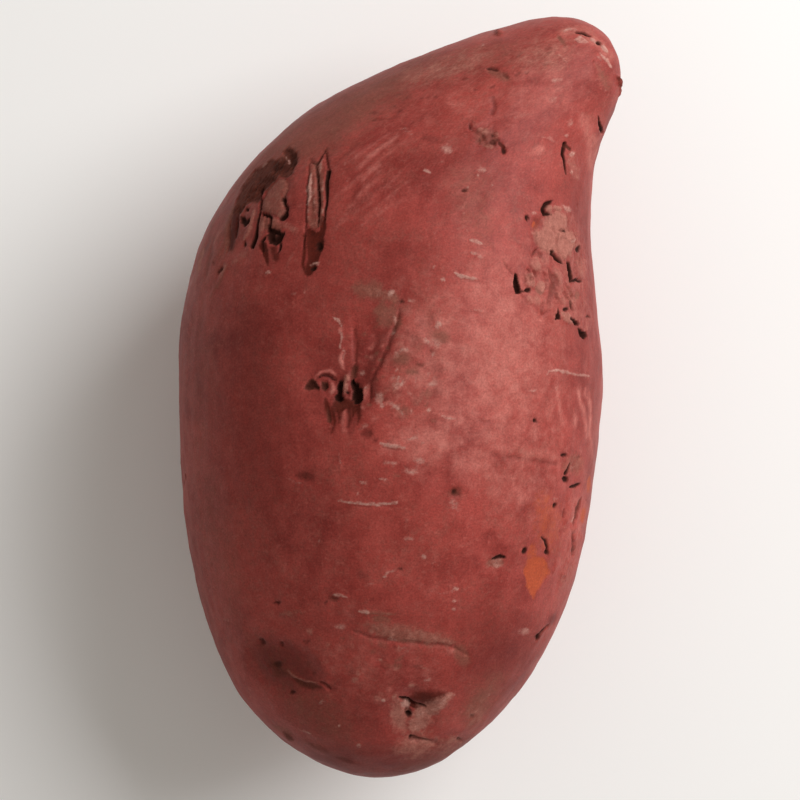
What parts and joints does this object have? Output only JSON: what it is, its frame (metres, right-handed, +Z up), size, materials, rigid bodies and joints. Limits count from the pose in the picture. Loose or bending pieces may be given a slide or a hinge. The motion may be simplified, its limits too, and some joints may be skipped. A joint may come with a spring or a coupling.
{
  "type": "sweet potato",
  "caption": "Whole raw sweet potato lying on its side: a plump rounded root that narrows into a neck bending to one side and ends in a blunt nub.",
  "frame": {"origin": "on the surface that the root rests on, under the middle of its bounding box", "axes": "+Y along the root towards its neck and nub, +X towards the side that the neck bends to, +Z up"},
  "size_m": [0.0818, 0.14, 0.0716],
  "materials": {
    "skin": "satin"
  },
  "bodies": {
    "root": {"sweet_potato": "skin"}
  },
  "joints": []
}
